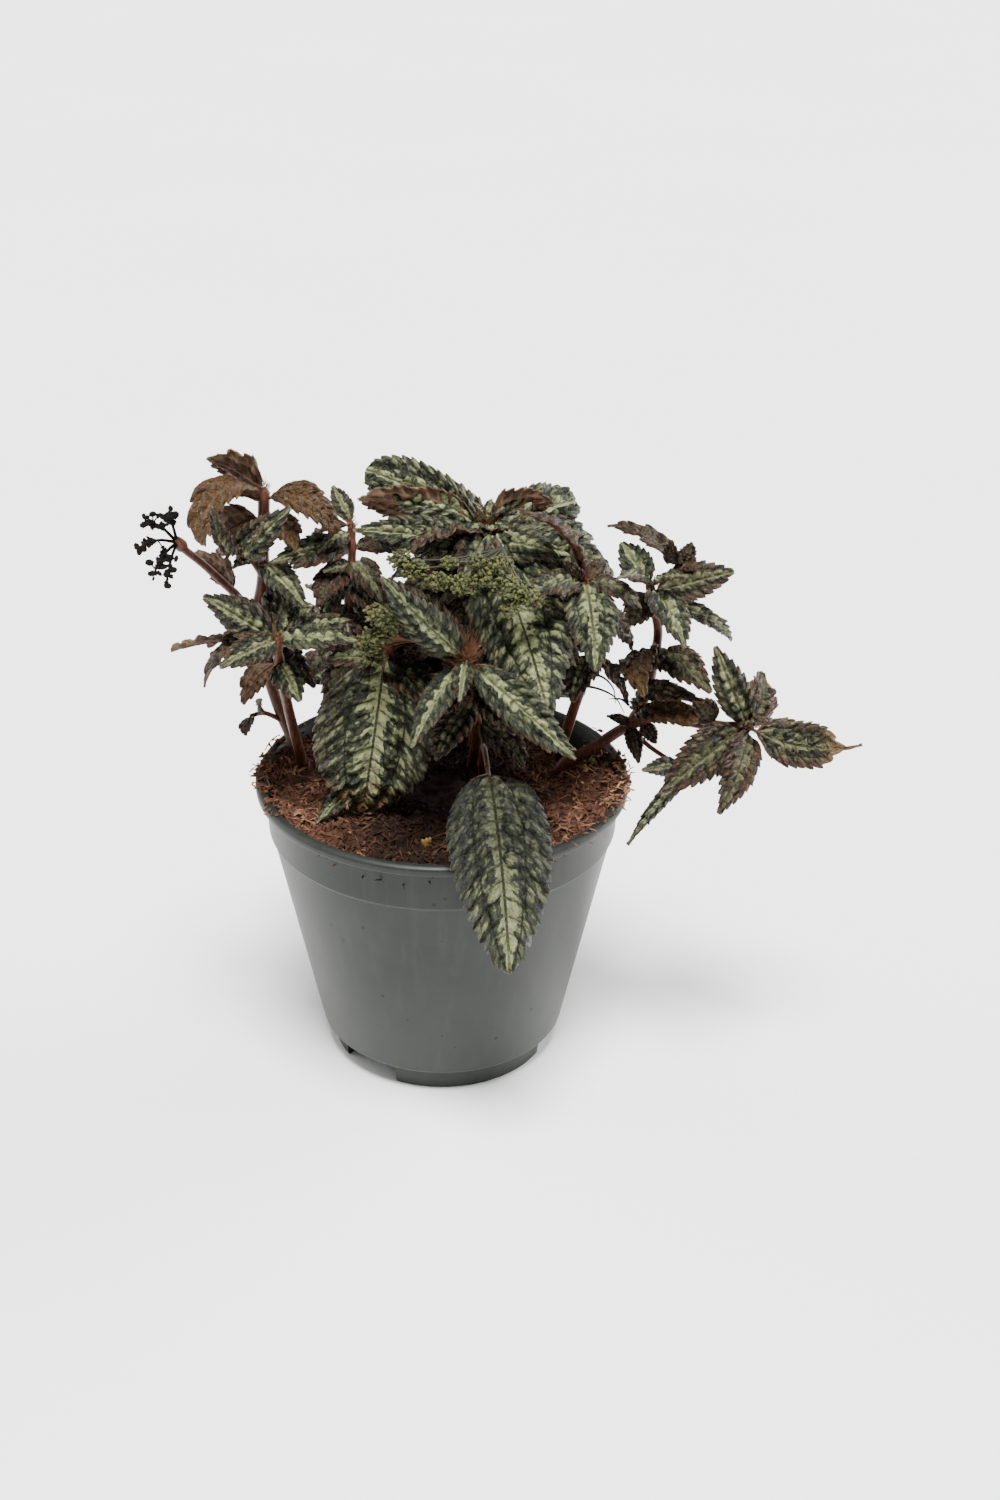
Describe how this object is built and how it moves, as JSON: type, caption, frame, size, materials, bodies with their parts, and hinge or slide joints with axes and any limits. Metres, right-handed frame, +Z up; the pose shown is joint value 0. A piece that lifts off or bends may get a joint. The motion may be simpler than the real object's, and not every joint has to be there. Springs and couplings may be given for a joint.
{
  "type": "potted pilea spruceana",
  "caption": "Leafy potted plant with silver-banded bronze leaves on branching stems, small green flower heads and coir soil in a tapered round plastic pot.",
  "frame": {"origin": "centre of the pot's flat base, on the surface that the pot stands on", "axes": "+Z up along the pot's axis; the fullest side of the plant faces -Y, and its longest branch points to +X"},
  "size_m": [0.2214, 0.1486, 0.2032],
  "materials": {
    "pot": "matte grey-green moulded plastic with a faint grain",
    "soil": "loose red-brown coir and peat fibre",
    "leaf": "quilted leaf, silver band on dark green and bronze, soft sheen",
    "flower": "tiny matte yellow-green buds",
    "spent": "dry black plant matter"
  },
  "bodies": {
    "root": {"pot": "pot", "soil": "soil", "shoot_left_tall": "leaf", "shoot_left_front": "leaf", "shoot_left_inner": "leaf", "shoot_old_left": "leaf", "shoot_centre": "leaf", "shoot_crown": "leaf", "shoot_front": "leaf", "shoot_right_mid": "leaf", "shoot_right": "leaf", "shoot_back_left": "leaf", "shoot_back_mid": "leaf", "shoot_back_right": "leaf", "flower_head_left": "flower", "flower_head_wide": "flower", "spent_bloom": "spent"}
  },
  "joints": []
}
